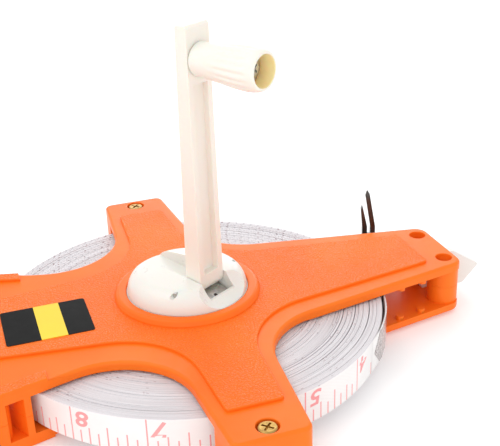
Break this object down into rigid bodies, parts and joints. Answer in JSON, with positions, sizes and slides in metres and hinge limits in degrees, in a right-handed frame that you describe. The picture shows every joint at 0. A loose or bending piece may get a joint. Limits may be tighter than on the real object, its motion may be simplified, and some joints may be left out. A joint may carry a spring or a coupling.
{
  "type": "surveyor tape reel",
  "caption": "Open-frame long tape reel: a two-shell cross-shaped frame with a hand opening round a wound tape, a domed hub with a folding winding crank, and a hooked tape end.",
  "frame": {"origin": "on the reel axis, in the plane of the underside that the reel rests on", "axes": "+Z along the reel axis towards the crank, +X along the nose, with the handle towards -X"},
  "size_m": [0.2529, 0.179, 0.1212],
  "materials": {
    "frame_plastic": "satin moulded ABS with a fine leather grain on the raised panels",
    "hub_plastic": "satin cream plastic",
    "guide_plastic": "satin white plastic",
    "tape": "glossy coated fibreglass tape with printed graduations",
    "label_print": "printed label, black with a yellow band",
    "screw_steel": "plated steel",
    "spring_steel": "rolled spring steel",
    "screw_brass": "yellow zinc plate",
    "clamp_steel": "pressed sheet steel",
    "claw_steel": "dark forged steel"
  },
  "bodies": {
    "frame": {"upper_frame": "frame_plastic", "lower_frame": "frame_plastic", "nose_screws": "screw_steel", "arm_screws": "screw_brass", "handle_screws": "screw_steel", "label": "label_print", "mouth_guide": "guide_plastic", "tape_turn": "tape"},
    "reel": {"drum": "hub_plastic", "tape_anchor": "screw_steel", "crank_hub": "hub_plastic", "hub_screws": "screw_steel", "bottom_cap": "hub_plastic", "cap_screw": "screw_steel", "tape_roll": "tape", "crank_pin": "screw_steel", "crank_spring": "spring_steel"},
    "crank": {"crank_arm": "hub_plastic", "knob_washer": "screw_steel", "knob_screw": "screw_steel"},
    "knob": {"knob": "hub_plastic"},
    "tape_end": {"tape_lead": "tape", "end_clamp": "clamp_steel", "end_rivets": "screw_steel", "claw_pin": "screw_steel"},
    "claw": {"end_claw": "claw_steel"}
  },
  "joints": [
    {"name": "reel_spin", "type": "hinge", "parent": "frame", "child": "reel", "pos_m": [0, 0, 0.0113], "axis": [0, 0, 1], "continuous": true},
    {"name": "crank_fold", "type": "hinge", "parent": "reel", "child": "crank", "pos_m": [0.00469, -0.00751, 0.0304], "axis": [0.848, 0.5299, 0], "range_deg": [-86, 90]},
    {"name": "knob_spin", "type": "hinge", "parent": "crank", "child": "knob", "pos_m": [0.01325, -0.0212, 0.11005], "axis": [0.5299, -0.848, 0], "continuous": true},
    {"name": "tape_pull", "type": "slide", "parent": "frame", "child": "tape_end", "axis": [0.3453, 0.9385, 0], "range_m": [0, 0.03]},
    {"name": "claw_fold", "type": "hinge", "parent": "tape_end", "child": "claw", "pos_m": [0.08608, 0.02908, 0.0113], "axis": [-0.9385, 0.3453, 0], "range_deg": [0, 90]}
  ]
}
